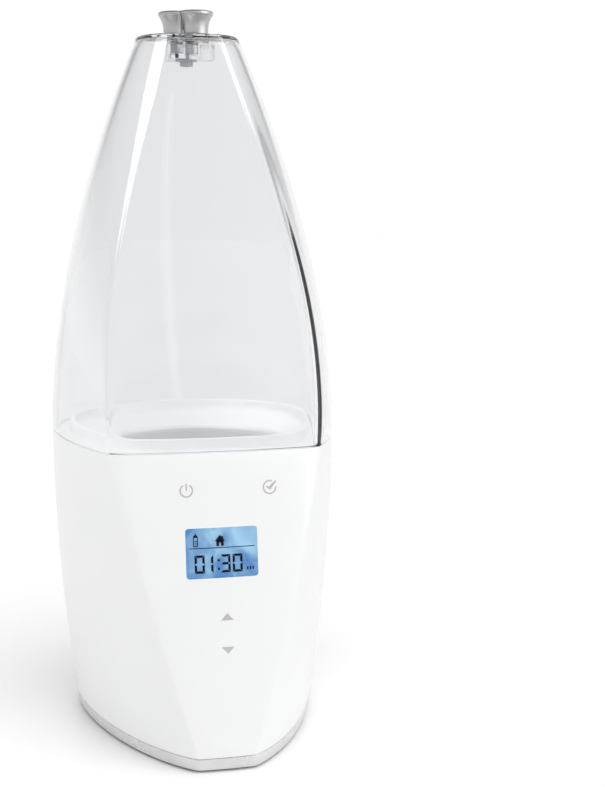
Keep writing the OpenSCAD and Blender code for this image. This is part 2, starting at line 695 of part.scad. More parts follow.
// ---- power board ----------------------------------------------------------
board_z = 7.5;
board_top = board_z + board_thick;
board_places = [[-23, plan_y - 46], [23, plan_y - 46], [-30, plan_y + 6], [30, plan_y + 6]];
module power_board() {
    color([0.72, 0.62, 0.36])
    difference() {
        translate([0, plan_y, board_z]) linear_extrude(board_thick)
            polygon([[-27, -50], [27, -50], [34, 2], [34, 10], [-34, 10], [-34, 2]]);
        for (p = board_places)
            translate([p[0], p[1], board_z - 1]) cylinder(r = 1.2, h = board_thick + 2, $fn = 24);
    }
}
module board_screws() {
    color([0.6, 0.61, 0.63])
    for (p = board_places)
        translate([p[0], p[1], board_top + 1.3]) mirror([0, 0, 1]) screw(5, 0.9, 2, 1.2);
}
module transformer() {
    w = 20;
    d = 16;
    h = 14;
    color([0.85, 0.72, 0.25])
    translate([-12, plan_y - 36, board_top]) union() {
        translate([-w / 2, -d / 2, 0]) cube([w, d, 3]);
        translate([-w / 2 + 3, -d / 2 + 1.5, 3 - eps]) cube([w - 6, d - 3, h - 6 + 2 * eps]);
        translate([-w / 2, -d / 2, h - 3]) cube([w, d, 3]);
    }
}
module relay() {
    color([0.16, 0.3, 0.62])
    translate([2.5, plan_y - 43.5, board_top]) cube([19, 15, 15]);
}
module capacitors() {
    color([0.15, 0.17, 0.2])
    for (p = [[-24, -22], [-14, -20], [-24, -10]])
        translate([p[0], plan_y + p[1], board_top]) difference() {
            cylinder(r = 4, h = 12, $fn = 40);
            translate([0, 0, 11]) tube(4.5, 3.4, 0.4);
        }
}
module fuse_tube() {
    color([0.8, 0.82, 0.84])
    translate([10, plan_y - 18, board_top + 3.2]) rotate([0, 90, 0]) union() {
        cylinder(r = 2.2, h = 14, $fn = 32);
        for (x = [-eps, 10]) translate([0, 0, x]) cylinder(r = 2.6, h = 4 + eps, $fn = 32);
    }
}
module wire_terminals() {
    color([0.92, 0.92, 0.9])
    for (x = [-8, 8]) translate([x, plan_y - 2, board_top]) difference() {
        translate([-5, -4, 0]) cube([10, 8, 7]);
        for (s = [-2.5, 2.5]) translate([s, -5, 3.5]) rotate([-90, 0, 0]) cylinder(r = 1.5, h = 4, $fn = 24);
    }
}

// ---- rear sockets -----------------------------------------------------------
plate_back_y = plan_y + plan_back(socket_z) - 8.3;
inlet_x = -9;
jack_x = 13;
jack_pin_r = 1;
module figure_eight(w, h) {
    union() {
        square([w - h, h], center = true);
        for (s = [-1, 1]) translate([s * (w - h) / 2, 0]) circle(d = h, $fn = 48);
    }
}
module socket_plate() {
    color([0.2, 0.2, 0.21])
    difference() {
        intersection() {
            translate([0, plate_back_y - 1, socket_z]) rounded_block(socket_w + 4, socket_h + 4, 14, 3);
            inside(housing_wall + 0.15, socket_z - socket_h / 2 - 3, socket_z + socket_h / 2 + 3, 4);
        }
        translate([0, plate_back_y + 1, socket_z]) rounded_block(socket_w, socket_h, 16, 2.5);
        translate([inlet_x, plate_back_y - 3, socket_z]) rotate([-90, 0, 0]) linear_extrude(8) figure_eight(14.6, 8.6);
        translate([jack_x, plate_back_y - 3, socket_z]) rotate([-90, 0, 0])
            cylinder(r = 4.1, h = 8, $fn = 48);
    }
}
inlet_depth = 15;
inlet_pin_x = 4.3;
inlet_pin_r = 1.2;
module mains_inlet() {
    color([0.1, 0.1, 0.11])
    translate([inlet_x, plate_back_y + 1 - inlet_depth, socket_z]) difference() {
        union() {
            rotate([-90, 0, 0]) linear_extrude(inlet_depth) figure_eight(14.2, 8.2);
            translate([-9, 0, -5]) cube([18, inlet_depth - 2.2, 10]);
        }
        translate([0, 4, 0]) rotate([-90, 0, 0]) linear_extrude(inlet_depth) figure_eight(12.2, 6.4);
        for (s = [-1, 1])
            translate([s * inlet_pin_x, -1, 0]) rotate([-90, 0, 0]) cylinder(r = inlet_pin_r, h = 6, $fn = 32);
    }
}
module inlet_pins() {
    color([0.8, 0.76, 0.6])
    for (s = [-1, 1])
        translate([inlet_x + s * inlet_pin_x, plate_back_y + 1 - inlet_depth - 3, socket_z]) rotate([-90, 0, 0])
            cylinder(r = inlet_pin_r, h = 14.5, $fn = 32);
}
module dc_jack() {
    color([0.12, 0.12, 0.13])
    translate([jack_x, plate_back_y + 1 - 12, socket_z]) difference() {
        union() {
            rotate([-90, 0, 0]) cylinder(r = 4, h = 12, $fn = 48);
            translate([-4.5, 0, -5]) cube([9, 9.8, 10]);
        }
        translate([0, 2.5, 0]) rotate([-90, 0, 0]) cylinder(r = 2.8, h = 12, $fn = 48);
        translate([0, -1, 0]) rotate([-90, 0, 0]) cylinder(r = jack_pin_r, h = 5, $fn = 32);
    }
}
module dc_pin() {
    color([0.8, 0.76, 0.6])
    translate([jack_x, plate_back_y + 1 - 12, socket_z]) rotate([-90, 0, 0])
        cylinder(r = jack_pin_r, h = 10.5, $fn = 32);
}

// ---- wires ---------------------------------------------------------------------
// a round wire swept along points: each ring stands square to the local direction
function unit(v) = v / norm(v);
function bezier(p, t) =
    let (u = 1 - t) u * u * u * p[0] + 3 * u * u * t * p[1] + 3 * u * t * t * p[2] + t * t * t * p[3];
function wire_ring(p, r, t, sides) =
    let (c = bezier(p, t), d = unit(bezier(p, min(1, t + 0.02)) - bezier(p, max(0, t - 0.02))),
         side = unit(cross(d, abs(d[2]) > 0.9 ? [1, 0, 0] : [0, 0, 1])), lift = cross(side, d))
    [for (i = [0 : sides - 1]) c + r * (cos(360 * i / sides) * side + sin(360 * i / sides) * lift)];
module wire(p, r, count = 12, sides = 8) {
    rings = [for (i = [0 : count]) wire_ring(p, r, i / count, sides)];
    polyhedron(
        points = [for (ring = rings) for (q = ring) q],
        faces = concat(
            side_faces(count + 1, sides),
            [[for (i = [sides - 1 : -1 : 0]) i]],
            [[for (i = [0 : sides - 1]) count * sides + i]]),
        convexity = 4);
}
wire_r = 0.8;
module heater_leads() {
    color([0.75, 0.2, 0.15])
    for (s = [-1, 1]) {
        start = [s * 5.5, plan_y - 3, board_top + 3.5];
        finish = stub_tip(s);
        wire([start, start + [0, -12, 0], finish + [s * 2, -15, -4], finish], wire_r);
    }
}
module inlet_leads() {
    color([0.25, 0.3, 0.6])
    for (s = [-1, 1]) {
        start = [inlet_x + s * inlet_pin_x, plate_back_y + 1 - inlet_depth - 3, socket_z];
        finish = [-8 + s * 2.5, plan_y + 2, board_top + 3.5];
        wire([start, start + [0, -5, 0], finish + [0, 8, 0], finish], wire_r);
    }
}
module display_ribbon() {
    color([0.8, 0.8, 0.78])
    for (i = [0 : 3]) {
        start = [-16 - i * 1.5, plan_y - 49, board_top + wire_r];
        finish = [-9 - i * 1.5, plan_y - 66, 52];
        wire([start, start + [0, -12, 0], finish + [0, 4, -20], finish], 0.6, 12, 6);
    }
}

dome_shell();
knob();
knob_screw();
wave_washer();
vent_shutter();
housing_shell();
deck_collar();
base_ring();
bottom_cover();
rubber_feet();
cover_screws();
chamber_liner();
chamber_seal();
heating_plate();
heating_element();
clamp_ring();
clamp_screws();
thermal_fuse();
temperature_sensor();
sensor_bracket();
lcd_window();
lcd_frame();
lcd_glass();
lcd_backlight();
display_board();
display_screws();
touch_springs();
buzzer();
power_board();
board_screws();
transformer();
relay();
capacitors();
fuse_tube();
wire_terminals();
socket_plate();
mains_inlet();
inlet_pins();
dc_jack();
dc_pin();
heater_leads();
inlet_leads();
display_ribbon();
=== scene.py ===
"""Looks of an upright baby-bottle warmer: white base, clear lift-off dome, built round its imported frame.

Sizes are in millimetres inside the shape functions and become metres when a mesh is made.
"""
import math

import bmesh
import bpy
import numpy as np
from mathutils import Matrix, Vector
from mathutils.geometry import tessellate_polygon


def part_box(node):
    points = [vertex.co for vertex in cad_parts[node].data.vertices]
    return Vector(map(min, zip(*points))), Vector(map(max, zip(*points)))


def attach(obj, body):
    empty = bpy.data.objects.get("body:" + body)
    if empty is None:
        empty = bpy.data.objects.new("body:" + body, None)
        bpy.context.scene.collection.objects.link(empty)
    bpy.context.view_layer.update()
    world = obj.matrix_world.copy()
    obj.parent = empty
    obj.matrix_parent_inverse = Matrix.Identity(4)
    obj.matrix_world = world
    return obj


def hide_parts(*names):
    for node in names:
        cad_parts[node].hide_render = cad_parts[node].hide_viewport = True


MM = 0.001
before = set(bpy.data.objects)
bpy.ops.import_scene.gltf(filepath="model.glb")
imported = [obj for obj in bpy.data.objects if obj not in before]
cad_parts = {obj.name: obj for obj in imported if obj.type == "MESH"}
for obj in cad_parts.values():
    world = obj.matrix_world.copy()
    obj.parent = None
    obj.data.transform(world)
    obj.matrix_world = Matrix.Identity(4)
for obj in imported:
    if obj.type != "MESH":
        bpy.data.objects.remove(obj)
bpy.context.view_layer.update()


def mm_box(node):
    """A CAD node's box, in millimetres."""
    low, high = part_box(node)
    return np.array(low) / MM, np.array(high) / MM


# ---- driving dimensions, from the frame where it holds them -------------------
_, housing_high = mm_box("housing_shell")
dome_low, dome_high = mm_box("dome_shell")
ring_low, ring_high = mm_box("base_ring")
liner_low, liner_high = mm_box("chamber_liner")
knob_low, knob_high = mm_box("knob")

SEAM_Z = housing_high[2]
DOME_FOOT_Z = dome_low[2]
DOME_TOP_Z = dome_high[2]
RING_TOP_Z = ring_high[2]
FOOT_LIFT = ring_low[2]
HALF_WIDTH = housing_high[0]
FOOT_HALF_WIDTH = 51.7
TOP_HALF_WIDTH = 21.5
BACK_DEPTH = 51.9
FOOT_BACK_DEPTH = 42.4
TOP_BACK_DEPTH = 18.5
FRONT_DEPTH = 70.7
FOOT_FRONT_DEPTH = 90.0
TOP_FRONT_DEPTH = 19.5
PLAN_Y = housing_high[1] - BACK_DEPTH
CHAMBER_Y = (liner_low[1] + liner_high[1]) / 2
HOUSING_WALL = 2.4
DOME_WALL = 2.8
ROOF = 3.0
WINDOW = (28.4, 19.6)
WINDOW_Z = 86.5
SEAM_FRONT_SEMI = FRONT_DEPTH * 1.457
FOOT_FRONT_SEMI = FOOT_FRONT_DEPTH * 1.067
SEAM_POWER = 1.87
FOOT_POWER = 1.59
TOP_POWER = 2.3
BACK_POWER = 2.1
SEAM_BULGE = 3.3
FACE_BULGE_ENDS = 0.5
TOP_CORNER_RATIO = 0.51
CORNER_SWELL = 0.48
BACK_POINTS, SIDE_POINTS, FACE_POINTS = 64, 36, 44


def mix(a, b, t):
    return a + (b - a) * t


def smooth(t):
    t = min(max(t, 0.0), 1.0)
    return t * t * (3 - 2 * t)


def corner_share(depth, semi, power):
    """Where a superellipse is cut at a depth, as a share of its half-width."""
    return (1 - (depth / semi) ** power) ** (1 / power)


def plan(z):
    """Half-width, back depth, front depth, power, bulge and corner share of the plan at height z."""
    seam_share = corner_share(FRONT_DEPTH, SEAM_FRONT_SEMI, SEAM_POWER)
    if z <= SEAM_Z:
        t = (SEAM_Z - z) / (SEAM_Z - RING_TOP_Z)
        fall = t**2.1
        front = mix(FRONT_DEPTH, FOOT_FRONT_DEPTH, t**0.82)
        power = mix(SEAM_POWER, FOOT_POWER, t**1.25)
        share = corner_share(front, mix(SEAM_FRONT_SEMI, FOOT_FRONT_SEMI, t), power)
        return (mix(HALF_WIDTH, FOOT_HALF_WIDTH, fall), mix(BACK_DEPTH, FOOT_BACK_DEPTH, fall),
                front, power, mix(SEAM_BULGE, FACE_BULGE_ENDS, t), share)
    t = min((z - SEAM_Z) / (DOME_TOP_Z - SEAM_Z), 1.0)
    rise = t**1.8
    share = mix(seam_share, TOP_CORNER_RATIO, t) + CORNER_SWELL * t * (1 - t)
    return (mix(HALF_WIDTH, TOP_HALF_WIDTH, rise), mix(BACK_DEPTH, TOP_BACK_DEPTH, rise),
            mix(FRONT_DEPTH, TOP_FRONT_DEPTH, t**1.25), mix(SEAM_POWER, TOP_POWER, t),
            mix(SEAM_BULGE, FACE_BULGE_ENDS, t), share)


def soften(points, reach):
    """Rounds a closed outline's corners: each point becomes the mean of its surroundings within reach."""
    step = np.linalg.norm(np.roll(points, -1, 0) - points, axis=1)
    place = np.concatenate([[0], np.cumsum(step)])
    total = place[-1]
    gap = np.abs(place[:-1, None] - place[None, :-1])
    gap = np.minimum(gap, total - gap)
    weight = np.exp(-0.5 * (gap / reach) ** 2) * ((step + np.roll(step, 1)) / 2)[None, :]
    return weight @ points / weight.sum(1, keepdims=True)


def ring(z, inset=0.0, narrow=1.0, reach=1.3, at=None):
    """One closed outline of the body at height z, drawn at height at, drawn in by inset."""
    w, back, front, power, bulge, share = plan(z)
    w, back, front, share = w - inset, back - inset, front - inset, share * narrow
    cut = (1 - share**power) ** (1 / power)
    semi = front / cut
    turn = np.pi * np.arange(BACK_POINTS) / BACK_POINTS
    c, s = np.cos(turn), np.sin(turn)
    rear = np.column_stack([w * np.sign(c) * abs(c) ** (2 / BACK_POWER), back * abs(s) ** (2 / BACK_POWER)])
    last = math.asin(cut ** (power / 2))
    u = last * np.arange(SIDE_POINTS + 1) / SIDE_POINTS
    side = np.column_stack([w * np.cos(u) ** (2 / power), -semi * np.sin(u) ** (2 / power)])
    xc = w * share
    x = np.linspace(-xc, xc, FACE_POINTS + 1)[:-1]
    face = np.column_stack([x, -front - bulge * (1 - (x / xc) ** 2)])
    outline = np.vstack([rear, side[:-1] * [-1, 1], face, side[:0:-1]])
    outline = soften(outline, reach)
    outline[:, 1] += PLAN_Y
    return np.column_stack([outline, np.full(len(outline), z if at is None else at)])


def circle(source, centre_y, radius, z):
    """A circle whose points stand in the same directions as those of source."""
    d = source[:, :2] - [0, centre_y]
    d = d / np.linalg.norm(d, axis=1)[:, None] * radius
    return np.column_stack([d[:, 0], d[:, 1] + centre_y, np.full(len(d), z)])


def face_y(x, z):
    """Place of the outer face of the front facet."""
    w, _, front, _, bulge, share = plan(z)
    return PLAN_Y - front - bulge * (1 - (x / (w * share)) ** 2)


FACE_LEAN = math.atan((face_y(0, WINDOW_Z + 1) - face_y(0, WINDOW_Z - 1)) / 2)


# ---- mesh helpers ---------------------------------------------------------------
def make_object(name, verts, faces, material, smooth_angle=40):
    mesh = bpy.data.meshes.new(name)
    mesh.from_pydata([tuple(v) for v in np.asarray(verts) * MM], [], faces)
    bm = bmesh.new()
    bm.from_mesh(mesh)
    bmesh.ops.remove_doubles(bm, verts=bm.verts, dist=1e-7)
    bmesh.ops.recalc_face_normals(bm, faces=bm.faces)
    bm.to_mesh(mesh)
    bm.free()
    obj = bpy.data.objects.new(name, mesh)
    bpy.context.scene.collection.objects.link(obj)
    mesh.materials.append(material)
    shade(obj, smooth_angle)
    return obj


def shade(obj, smooth_angle=40):
    """Smooth shading that stays crisp at edges sharper than the angle."""
    mesh = obj.data
    mesh.shade_smooth()
    mesh.set_sharp_from_angle(angle=math.radians(smooth_angle))


def round_profile(stations):
    """Fillets a closed run of rings. Each station is (ring, radius), and a radius of 0 stays as it is."""
    rings = np.array([s[0] for s in stations])
    out = []
    for k, (_, radius) in enumerate(stations):
        here = rings[k]
        if radius == 0:
            out.append(here)
            continue
        before, after = rings[k - 1], rings[(k + 1) % len(rings)]
        ends = []
        for other in (before, after):
            d = other - here
            length = np.linalg.norm(d, axis=1)[:, None]
            ends.append(here + d * np.minimum(radius / np.maximum(length, 1e-9), 0.48))
        for t in np.linspace(0, 1, 6):
            out.append((1 - t) ** 2 * ends[0] + 2 * t * (1 - t) * here + t * t * ends[1])
    return out


def loop_solid(name, stations, material, smooth_angle=40):
    """A solid whose section is a closed run of rings, such as a tube's wall."""
    rings = round_profile(stations)
    count, levels = len(rings[0]), len(rings)
    faces = []
    for k in range(levels):
        a, b = k * count, (k + 1) % levels * count
        faces += [(a + i, a + (i + 1) % count, b + (i + 1) % count, b + i) for i in range(count)]
    return make_object(name, np.vstack(rings), faces, material, smooth_angle)


def rounded_outline(w, h, r, steps=8):
    points = []
    for k, (sx, sy) in enumerate([(1, 1), (-1, 1), (-1, -1), (1, -1)]):
        for i in range(steps + 1):
            a = math.pi / 2 * (k + i / steps)
            points.append((sx * (w / 2 - r) + r * math.cos(a), sy * (h / 2 - r) + r * math.sin(a)))
    return points


def prism(name, outline, depth, place, material):
    """An outline in the XZ plane, extruded from y = 0 to y = depth, then put in place."""
    n = len(outline)
    verts = [(x, y, z) for y in (0, depth) for x, z in outline]
    faces = [tuple(range(n)), tuple(range(2 * n - 1, n - 1, -1))]
    faces += [(i, (i + 1) % n, n + (i + 1) % n, n + i) for i in range(n)]
    verts = [tuple(place @ Vector(v)) for v in verts]
    return make_object(name, verts, faces, material)


def cylinder_mesh(name, radius, low, high, centre, material, sides=48):
    turn = 2 * np.pi * np.arange(sides) / sides
    verts = [(centre[0] + radius * math.cos(a), centre[1] + radius * math.sin(a), z)
             for z in (low, high) for a in turn]
    faces = [tuple(range(sides)), tuple(range(2 * sides - 1, sides - 1, -1))]
    faces += [(i, (i + 1) % sides, sides + (i + 1) % sides, sides + i) for i in range(sides)]
    return make_object(name, verts, faces, material)


def cut(obj, tools, operation="DIFFERENCE"):
    """Applies booleans with the tools, which are then removed."""
    for tool in tools:
        step = obj.modifiers.new("cut", "BOOLEAN")
        step.object = tool
        step.operation = operation
        step.solver = "EXACT"
    bpy.context.view_layer.update()
    result = bpy.data.meshes.new_from_object(obj.evaluated_get(bpy.context.evaluated_depsgraph_get()))
    obj.modifiers.clear()
    obj.data = result
    for tool in tools:
        bpy.data.objects.remove(tool)
    shade(obj, 35)


# ---- materials --------------------------------------------------------------------
def new_material(name, color, roughness=0.4, metallic=0.0, **sockets):
    material = bpy.data.materials.new(name)
    material.use_nodes = True
    shader = material.node_tree.nodes["Principled BSDF"]
    shader.inputs["Base Color"].default_value = (*color, 1)
    shader.inputs["Roughness"].default_value = roughness
    shader.inputs["Metallic"].default_value = metallic
    for key, value in sockets.items():
        shader.inputs[key.replace("_", " ")].default_value = value
    return material, material.node_tree, shader


def texture(tree, kind, size, stretch=(1, 1, 1), **values):
    """A procedural texture in object coordinates, whose features are about size metres."""
    coords = tree.nodes.new("ShaderNodeTexCoord")
    mapping = tree.nodes.new("ShaderNodeMapping")
    mapping.inputs["Scale"].default_value = [s / size for s in stretch]
    tree.links.new(coords.outputs["Object"], mapping.inputs["Vector"])
    node = tree.nodes.new(kind)
    tree.links.new(mapping.outputs["Vector"], node.inputs["Vector"])
    node.inputs["Scale"].default_value = 1.0
    for key, value in values.items():
        node.inputs[key].default_value = value
    return node


def ramp(tree, source, low, high, start=0.3, stop=0.7):
    """Maps a texture's value to colours between low and high."""
    node = tree.nodes.new("ShaderNodeValToRGB")
    node.color_ramp.elements[0].position = start
    node.color_ramp.elements[0].color = (*low, 1)
    node.color_ramp.elements[1].position = stop
    node.color_ramp.elements[1].color = (*high, 1)
    tree.links.new(source, node.inputs["Fac"])
    return node.outputs["Color"]


def spread(tree, source, low, high):
    """Maps a texture's value to numbers from low to high."""
    node = tree.nodes.new("ShaderNodeMapRange")
    node.inputs["From Min"].default_value = 0.25
    node.inputs["From Max"].default_value = 0.75
    node.inputs["To Min"].default_value = low
    node.inputs["To Max"].default_value = high
    tree.links.new(source, node.inputs["Value"])
    return node.outputs["Result"]


def bump(tree, shader, source, height, strength=1.0):
    """Lets a texture raise the surface by up to height metres."""
    node = tree.nodes.new("ShaderNodeBump")
    node.inputs["Distance"].default_value = height
    node.inputs["Strength"].default_value = strength
    tree.links.new(source, node.inputs["Height"])
    tree.links.new(node.outputs["Normal"], shader.inputs["Normal"])


def moulded(name, color, roughness=0.35, grain=0.0006, relief=0.00001, shift=0.02, **sockets):
    """Moulded plastic: slight colour drift, a fine grain and uneven gloss."""
    material, tree, shader = new_material(name, color, roughness, **sockets)
    drift = texture(tree, "ShaderNodeTexNoise", 0.03, Detail=3.0)
    low = [max(0, c - shift) for c in color]
    high = [min(1, c + shift) for c in color]
    tree.links.new(ramp(tree, drift.outputs["Fac"], low, high), shader.inputs["Base Color"])
    skin = texture(tree, "ShaderNodeTexNoise", grain, Detail=4.0, Roughness=0.6)
    gloss = spread(tree, skin.outputs["Fac"], roughness - 0.04, roughness + 0.06)
    tree.links.new(gloss, shader.inputs["Roughness"])
    bump(tree, shader, skin.outputs["Fac"], relief)
    return material


def clear_plastic(name, color, roughness=0.02):
    material, tree, shader = new_material(name, color, roughness, Transmission_Weight=1.0, IOR=1.49)
    waves = texture(tree, "ShaderNodeTexNoise", 0.05, (1, 1, 0.4), Detail=1.0)
    gloss = spread(tree, waves.outputs["Fac"], roughness, roughness + 0.02)
    tree.links.new(gloss, shader.inputs["Roughness"])
    bump(tree, shader, waves.outputs["Fac"], 0.0004, 0.25)
    return material


def metal(name, color, roughness=0.25, stretch=(1, 1, 12), grain=0.0008, relief=0.000006, metallic=1.0):
    """Metal with fine drawn lines and an uneven gloss."""
    material, tree, shader = new_material(name, color, roughness, metallic)
    lines = texture(tree, "ShaderNodeTexNoise", grain, stretch, Detail=5.0, Roughness=0.65)
    gloss = spread(tree, lines.outputs["Fac"], roughness * 0.75, roughness * 1.35)
    tree.links.new(gloss, shader.inputs["Roughness"])
    stain = texture(tree, "ShaderNodeTexNoise", 0.012, Detail=2.0)
    dark = [c * 0.93 for c in color]
    tree.links.new(ramp(tree, stain.outputs["Fac"], dark, color), shader.inputs["Base Color"])
    bump(tree, shader, lines.outputs["Fac"], relief)
    return material


def glowing_display(name):
    """Blue backlit liquid-crystal glass with brighter and darker clouds."""
    material, tree, shader = new_material(name, (0.03, 0.06, 0.1), 0.2, Coat_Weight=0.3, Coat_Roughness=0.06)
    clouds = texture(tree, "ShaderNodeTexNoise", 0.011, (1, 1, 0.8), Detail=2.0, Distortion=0.8)
    color = ramp(tree, clouds.outputs["Fac"], (0.035, 0.18, 0.48), (0.36, 0.62, 0.82), 0.36, 0.7)
    tree.links.new(color, shader.inputs["Emission Color"])
    shader.inputs["Emission Strength"].default_value = 0.85
    grid = texture(tree, "ShaderNodeTexVoronoi", 0.0004)
    bump(tree, shader, grid.outputs["Distance"], 0.000002)
    return material


def circuit_board(name, color, copper):
    material, tree, shader = new_material(name, color, 0.35, Coat_Weight=0.3)
    tracks = texture(tree, "ShaderNodeTexVoronoi", 0.004)
    pattern = ramp(tree, tracks.outputs["Distance"], copper, color, 0.05, 0.12)
    tree.links.new(pattern, shader.inputs["Base Color"])
    weave = texture(tree, "ShaderNodeTexNoise", 0.0005)
    bump(tree, shader, weave.outputs["Fac"], 0.00001)
    return material


WHITE = (0.742, 0.745, 0.746)
housing_white = moulded("housing_white", WHITE, 0.3, 0.0011, 0.0000012, 0.006,
                        Coat_Weight=0.3, Coat_Roughness=0.1)
deck_white = moulded("deck_white", (0.87, 0.875, 0.88), 0.32, 0.0007, 0.000006, 0.008, Coat_Weight=0.15)
liner_white = moulded("liner_white", (0.8, 0.81, 0.81), 0.4, 0.0008, 0.00001, 0.012)
dome_clear = clear_plastic("dome_clear", (0.9, 0.905, 0.915))
shutter_clear = clear_plastic("shutter_clear", (0.97, 0.97, 0.975), 0.01)
fuse_clear = clear_plastic("fuse_clear", (0.8, 0.85, 0.82), 0.05)
chrome = metal("chrome", (0.52, 0.52, 0.525), 0.3, (1, 1, 1), 0.006, 0.0000001)
steel = metal("steel", (0.5, 0.51, 0.53), 0.32)
aluminium = metal("aluminium", (0.62, 0.63, 0.64), 0.3, (1, 14, 1), 0.0006)
brass = metal("brass", (0.74, 0.6, 0.32), 0.25)
element_steel = metal("element_steel", (0.3, 0.29, 0.29), 0.45, (1, 1, 1), 0.001, 0.00002)
ring_silver = metal("ring_silver", (0.68, 0.68, 0.685), 0.26, (1, 1, 1), 0.03, 0.0000004, 0.6)
cover_grey = moulded("cover_grey", (0.55, 0.56, 0.57), 0.5, 0.0007, 0.00003, 0.015)
rubber = moulded("rubber", (0.045, 0.045, 0.048), 0.75, 0.0004, 0.00004, 0.01)
silicone = moulded("silicone", (0.62, 0.22, 0.12), 0.5, 0.0006, 0.00002, 0.03)
black_plastic = moulded("black_plastic", (0.02, 0.02, 0.022), 0.45, 0.0005, 0.00003, 0.006)
relay_blue = moulded("relay_blue", (0.02, 0.07, 0.3), 0.3, 0.0008, 0.00001, 0.01)
tape_yellow = moulded("tape_yellow", (0.7, 0.45, 0.06), 0.35, 0.0004, 0.00002, 0.04)
ceramic = moulded("ceramic", (0.72, 0.68, 0.6), 0.3, 0.0006, 0.00002, 0.03)
red_sleeve = moulded("red_sleeve", (0.5, 0.04, 0.03), 0.45, 0.0005, 0.00001, 0.02)
blue_sleeve = moulded("blue_sleeve", (0.04, 0.08, 0.4), 0.45, 0.0005, 0.00001, 0.02)
grey_sleeve = moulded("grey_sleeve", (0.5, 0.5, 0.48), 0.5, 0.0005, 0.00001, 0.02)
green_board = circuit_board("green_board", (0.01, 0.12, 0.05), (0.35, 0.3, 0.1))
brown_board = circuit_board("brown_board", (0.35, 0.22, 0.08), (0.45, 0.4, 0.3))
key_grey = moulded("key_grey", (0.42, 0.42, 0.425), 0.45, 0.0004, 0.000003, 0.02)
ink_black = moulded("ink_black", (0.003, 0.004, 0.008), 0.6, 0.0003, 0.000001, 0.002,
                    Specular_IOR_Level=0.1)
display_blue = glowing_display("display_blue")

NODE_MATERIALS = {
    "knob_screw": steel, "wave_washer": steel, "vent_shutter": shutter_clear,
    "bottom_cover": cover_grey, "rubber_feet": rubber, "cover_screws": steel,
    "chamber_liner": liner_white, "chamber_seal": silicone, "heating_plate": aluminium,
    "heating_element": element_steel, "clamp_ring": steel, "clamp_screws": steel,
    "thermal_fuse": ceramic, "temperature_sensor": black_plastic, "sensor_bracket": steel,
    "lcd_frame": liner_white, "lcd_glass": display_blue, "lcd_backlight": display_blue,
    "display_board": green_board, "display_screws": steel, "touch_springs": brass, "buzzer": black_plastic,
    "power_board": brown_board, "board_screws": steel, "transformer": tape_yellow, "relay": relay_blue,
    "capacitors": black_plastic, "fuse_tube": fuse_clear, "wire_terminals": liner_white,
    "socket_plate": black_plastic, "mains_inlet": black_plastic, "inlet_pins": brass,
    "dc_jack": black_plastic, "dc_pin": brass,
    "heater_leads": red_sleeve, "inlet_leads": blue_sleeve, "display_ribbon": grey_sleeve,
}
for node_name, node_material in NODE_MATERIALS.items():
    node_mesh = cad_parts[node_name].data
    node_mesh.materials.clear()
    node_mesh.materials.append(node_material)
    shade(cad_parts[node_name], 35)


# ---- camera, lights and floor ----------------------------------------------------
VIEW_TURN = 12.85


def set_camera():
    """Eye level a little under the dome's top, looking down a little, from the front left."""
    turn = math.radians(VIEW_TURN)
    pitch = math.radians(8.094)
    data = bpy.data.cameras.new("camera")
    data.sensor_width = 36
    data.lens = 65.46
    camera = bpy.data.objects.new("camera", data)
    bpy.context.scene.collection.objects.link(camera)
    distance, aside, eye_height = 626, 49.5, 227.4
    # the eye is set back from the plan's centre, which stands left of the picture's middle
    camera.location = Vector((
        aside * math.cos(turn) - distance * math.sin(turn),
        PLAN_Y - aside * math.sin(turn) - distance * math.cos(turn),
        eye_height)) * MM
    camera.rotation_euler = (math.pi / 2 - pitch, 0, -turn)
    bpy.context.scene.camera = camera


def heading(azimuth, elevation):
    """The direction at an azimuth to the right of the camera's own heading, in degrees."""
    turn, lift = math.radians(VIEW_TURN + azimuth), math.radians(elevation)
    return Vector((math.sin(turn) * math.cos(lift), math.cos(turn) * math.cos(lift), math.sin(lift)))


def area_light(name, place, across, size, radiance, aim, shown=True):
    """A soft box of so many metres at a place, its long side along across, that faces aim."""
    data = bpy.data.lights.new(name, "AREA")
    data.shape = "RECTANGLE"
    data.size, data.size_y = size
    data.energy = radiance * math.pi * size[0] * size[1]
    light = bpy.data.objects.new(name, data)
    bpy.context.scene.collection.objects.link(light)
    back = (place - aim).normalized()
    side = (across - across.dot(back) * back).normalized()
    facing = Matrix((side, back.cross(side), back)).transposed().to_4x4()
    light.matrix_world = Matrix.Translation(place) @ facing
    light.visible_camera = False
    light.visible_glossy = shown
    light.visible_transmission = shown
    return light


# the strips light nothing but the pieces in this collection
streak_catchers = bpy.data.collections.new("streak_catchers")


def strip_light(name, start, stop, width, radiance):
    """A strip that is seen from the dome between two directions, to put one clean streak on its corner."""
    aim, distance = Vector((0, 0, 0.26)), 1.5
    first, last = heading(*start), heading(*stop)
    middle = (first + last).normalized()
    length = 2 * distance * math.tan(first.angle(last) / 2)
    light = area_light(name, aim + distance * middle, last - first,
                       (length, 2 * distance * math.tan(math.radians(width) / 2)), radiance, aim)
    light.visible_diffuse = False
    light.light_linking.receiver_collection = streak_catchers


# the fill lights leave out the pieces in this collection
no_fill = bpy.data.collections.new("no_fill")


def fill_light(name, azimuth, elevation, size, radiance):
    """A big soft box for matt surfaces only: it leaves no reflection."""
    target, distance = Vector((0, 0, 0.1)), 1.2
    light = area_light(name, target + distance * heading(azimuth, elevation), heading(azimuth + 90, 0),
                       size, radiance, target, False)
    light.light_linking.receiver_collection = no_fill


